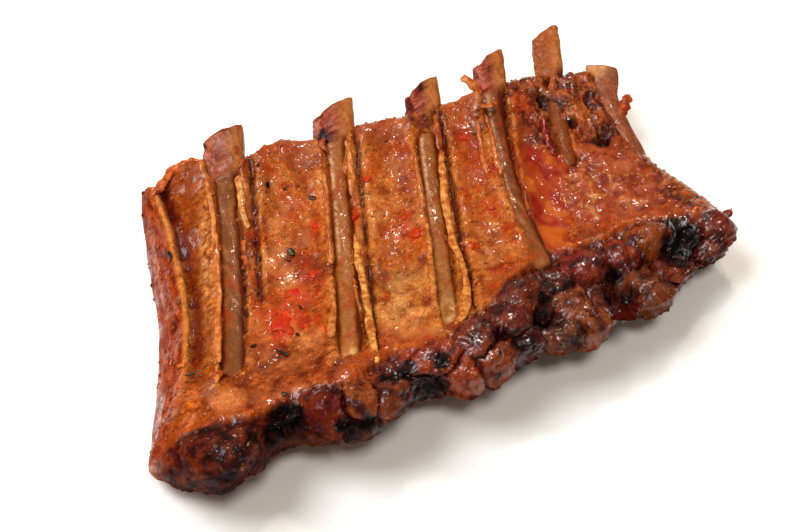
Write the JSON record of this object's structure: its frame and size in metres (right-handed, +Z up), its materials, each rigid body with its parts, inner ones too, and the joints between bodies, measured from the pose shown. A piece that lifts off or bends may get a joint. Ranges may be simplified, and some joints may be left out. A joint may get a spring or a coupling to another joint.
{
  "type": "rack of ribs",
  "caption": "Cooked rack of pork ribs lying bone side up, glazed and browned, with the sawn bone ends sticking out along one side.",
  "frame": {"origin": "bottom centre of the bounding box, where the slab rests", "axes": "+X along the rack towards its narrow end, +Y towards the side where the bone ends stick out, +Z up out of the bone side"},
  "size_m": [0.2338, 0.1478, 0.037],
  "materials": {
    "meat": "glossy",
    "bone": "satin"
  },
  "bodies": {
    "root": {"meat": "meat", "rib_1": "bone", "rib_2": "bone", "rib_3": "bone", "rib_4": "bone", "rib_5": "bone", "rib_6": "bone"}
  },
  "joints": []
}
